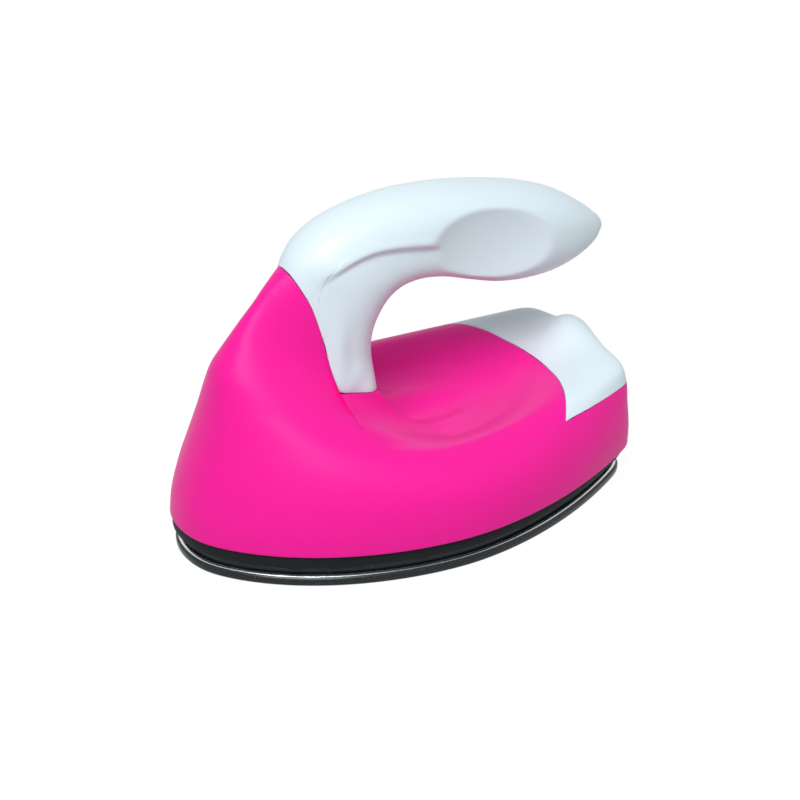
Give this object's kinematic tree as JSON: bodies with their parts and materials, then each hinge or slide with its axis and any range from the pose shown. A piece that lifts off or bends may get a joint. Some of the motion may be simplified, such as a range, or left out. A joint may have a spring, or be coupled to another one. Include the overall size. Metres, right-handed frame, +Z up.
{
  "type": "mini heat press",
  "caption": "Palm-sized heat press shaped like a small iron: coated aluminium sole, moulded cover with a hollow behind the neck, and an open-ended handle with thumb dimples",
  "frame": {"origin": "under the middle of the object on the surface that the sole rests on", "axes": "nose at -X, heel at +X, +Z up, Y across; the outside is the same on both sides of Y = 0"},
  "size_m": [0.1018, 0.0682, 0.0701],
  "materials": {
    "cover": "glossy hot pink ABS",
    "white_shell": "satin cool white ABS",
    "skirt": "matte charcoal heat-resistant plastic",
    "sole": "black non-stick coating on die-cast aluminium",
    "shield": "plain aluminium",
    "ceramic": "unglazed ceramic",
    "brass": "plain brass strip",
    "film": "amber polyimide film",
    "spring_steel": "spring steel",
    "screw_steel": "zinc plated steel",
    "bimetal": "rolled bimetal",
    "sleeve": "woven glass sleeve",
    "fuse": "drawn aluminium can",
    "lead": "silicone insulation",
    "connector": "natural nylon"
  },
  "bodies": {
    "housing": {"body_cover": "cover", "rear_cap": "white_shell", "handle_left": "white_shell", "handle_right": "white_shell", "heat_skirt": "skirt", "soleplate": "sole", "heat_shield": "shield", "heater_case": "shield", "ptc_tiles": "ceramic", "electrode_lower": "brass", "electrode_upper": "brass", "heater_film": "film", "heater_clamp": "spring_steel", "clamp_screws": "screw_steel", "thermostat_cup": "shield", "thermostat_base": "ceramic", "bimetal_disc": "bimetal", "arm_terminal": "brass", "fixed_contact": "brass", "thermostat_screws": "screw_steel", "fuse_sleeve": "sleeve", "thermal_fuse": "fuse", "fuse_lead": "lead", "link_lead": "lead", "feed_lead": "lead", "supply_lead": "lead", "lead_connectors": "connector", "sole_screws": "screw_steel", "body_screws": "screw_steel", "cap_screws": "screw_steel", "handle_screw": "screw_steel", "cord_clamp": "white_shell", "cord_clamp_screws": "screw_steel"},
    "push_pin": {"push_pin": "ceramic"},
    "contact_arm": {"contact_arm": "brass"}
  },
  "joints": [
    {"name": "pin_slide", "type": "slide", "parent": "housing", "child": "push_pin", "axis": [0, 0, 1], "range_m": [0, 0.0005], "stiffness_N_per_m": 200},
    {"name": "arm_hinge", "type": "hinge", "parent": "housing", "child": "contact_arm", "pos_m": [-0.0234, 0, 0.00922], "axis": [0, -1, 0], "range_deg": [0, 5.31], "stiffness_Nm_per_rad": 0.002}
  ],
  "couplings": [
    {"joint": "arm_hinge", "follows": "pin_slide", "rad_per_m": 185.45}
  ]
}
